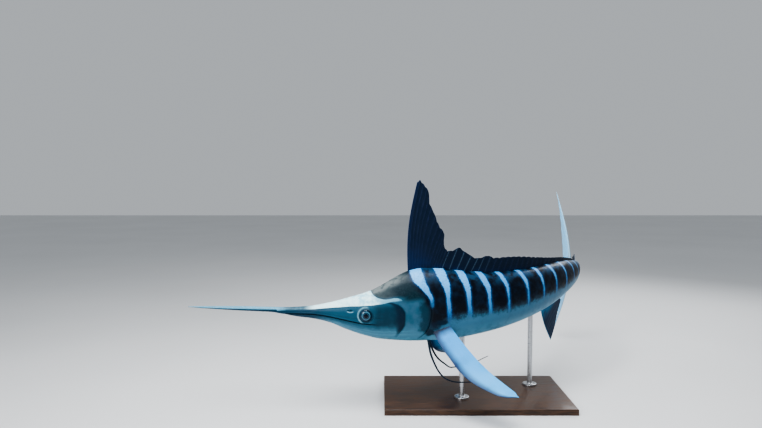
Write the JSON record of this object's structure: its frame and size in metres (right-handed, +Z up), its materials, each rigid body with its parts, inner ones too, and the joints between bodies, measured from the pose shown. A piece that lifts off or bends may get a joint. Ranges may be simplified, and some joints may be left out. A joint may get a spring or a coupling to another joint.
{
  "type": "striped marlin model",
  "caption": "Life-size still model of a striped marlin turning to its right, held over a flat base by two short rods",
  "frame": {"origin": "the middle of the underside of the stand's base", "axes": "+Z up; the head points along -X and the body bends towards +Y, so its left side faces -Y at the head"},
  "size_m": [1.9179, 1.4882, 0.9619],
  "materials": {
    "bill_white": "wet bone-white skin",
    "hide_head": "wet teal-grey skin",
    "hide_pale": "wet pale silver-blue skin",
    "hide_dark": "wet near-black navy skin with pale blue bars",
    "fin_dark": "wet navy-black membrane",
    "fin_pale": "wet pale blue membrane",
    "eye": "glossy dark eye",
    "wood": "satin dark wood",
    "steel": "brushed steel"
  },
  "bodies": {
    "root": {"bill": "bill_white", "head": "hide_head", "lower_jaw": "hide_pale", "gill_cover_L": "hide_head", "gill_cover_R": "hide_head", "eye_L": "eye", "eye_R": "eye", "trunk_front": "hide_dark", "trunk_mid": "hide_dark", "trunk_rear": "hide_dark", "tail_peduncle": "hide_dark", "dorsal_fin_lobe": "fin_dark", "dorsal_fin_middle": "fin_dark", "dorsal_fin_rear": "fin_dark", "dorsal_fin_second": "fin_dark", "anal_fin_first": "fin_dark", "anal_fin_second": "fin_dark", "pectoral_fin_L": "fin_pale", "pectoral_fin_R": "fin_pale", "pelvic_fin_L": "fin_dark", "pelvic_fin_R": "fin_dark", "tail_fin_upper": "fin_pale", "tail_fin_lower": "fin_pale", "stand_base": "wood", "stand_rod_front": "steel", "stand_rod_rear": "steel"}
  },
  "joints": []
}
